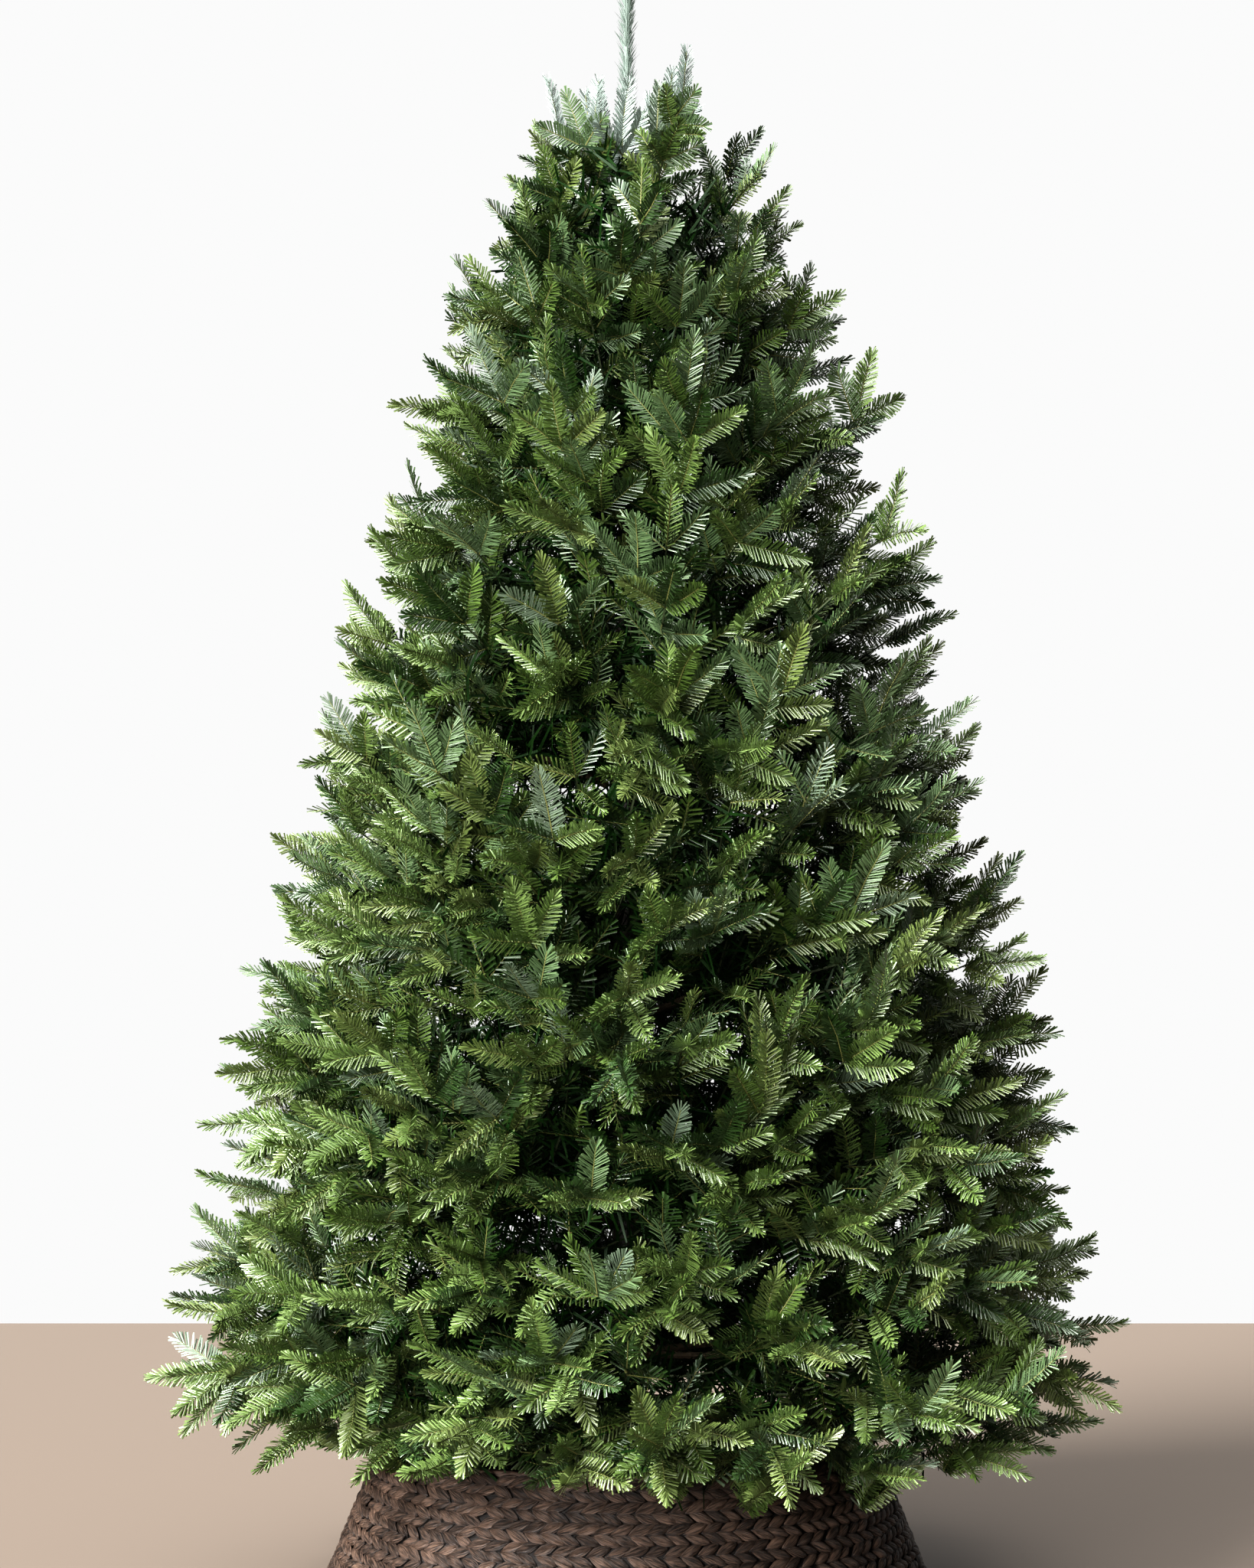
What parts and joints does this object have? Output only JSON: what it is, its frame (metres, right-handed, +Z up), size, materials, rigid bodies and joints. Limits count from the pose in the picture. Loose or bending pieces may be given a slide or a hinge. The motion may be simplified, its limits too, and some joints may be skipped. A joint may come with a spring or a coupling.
{
  "type": "artificial christmas tree",
  "caption": "Undecorated artificial fir Christmas tree: a dense cone of needle sprays on a straight pole, its legged stand set inside a tapering woven base ring.",
  "frame": {"origin": "on the floor, at the centre of the stand hub's flat underside, under the pole", "axes": "+Z up along the pole; the side seen in the picture faces -Y, with +X to its right"},
  "size_m": [1.3574, 1.3396, 2.29],
  "materials": {
    "pole": "satin dark brown paint on steel tube",
    "stand": "satin dark green paint on steel",
    "bough": "brown paper and plastic wound on steel wire",
    "needles": "matt moulded plastic needles in several greens",
    "top_needles": "matt moulded plastic needles, pale silvery green",
    "weave": "dark stained braided water hyacinth over a wire frame"
  },
  "bodies": {
    "root": {"trunk_pole": "pole", "stand_hub": "stand", "stand_leg_1": "stand", "stand_leg_2": "stand", "stand_leg_3": "stand", "stand_leg_4": "stand", "woven_base": "weave", "bough_tier1_1": "bough", "foliage_tier1_1": "needles", "bough_tier1_2": "bough", "foliage_tier1_2": "needles", "bough_tier1_3": "bough", "foliage_tier1_3": "needles", "bough_tier1_4": "bough", "foliage_tier1_4": "needles", "bough_tier1_5": "bough", "foliage_tier1_5": "needles", "bough_tier1_6": "bough", "foliage_tier1_6": "needles", "bough_tier2_1": "bough", "foliage_tier2_1": "needles", "bough_tier2_2": "bough", "foliage_tier2_2": "needles", "bough_tier2_3": "bough", "foliage_tier2_3": "needles", "bough_tier2_4": "bough", "foliage_tier2_4": "needles", "bough_tier2_5": "bough", "foliage_tier2_5": "needles", "bough_tier2_6": "bough", "foliage_tier2_6": "needles", "bough_tier3_1": "bough", "foliage_tier3_1": "needles", "bough_tier3_2": "bough", "foliage_tier3_2": "needles", "bough_tier3_3": "bough", "foliage_tier3_3": "needles", "bough_tier3_4": "bough", "foliage_tier3_4": "needles", "bough_tier3_5": "bough", "foliage_tier3_5": "needles", "bough_tier4_1": "bough", "foliage_tier4_1": "needles", "bough_tier4_2": "bough", "foliage_tier4_2": "needles", "bough_tier4_3": "bough", "foliage_tier4_3": "needles", "bough_tier4_4": "bough", "foliage_tier4_4": "needles", "bough_tier5_1": "bough", "foliage_tier5_1": "needles", "bough_tier5_2": "bough", "foliage_tier5_2": "needles", "bough_tier5_3": "bough", "foliage_tier5_3": "needles", "foliage_top": "top_needles"}
  },
  "joints": []
}
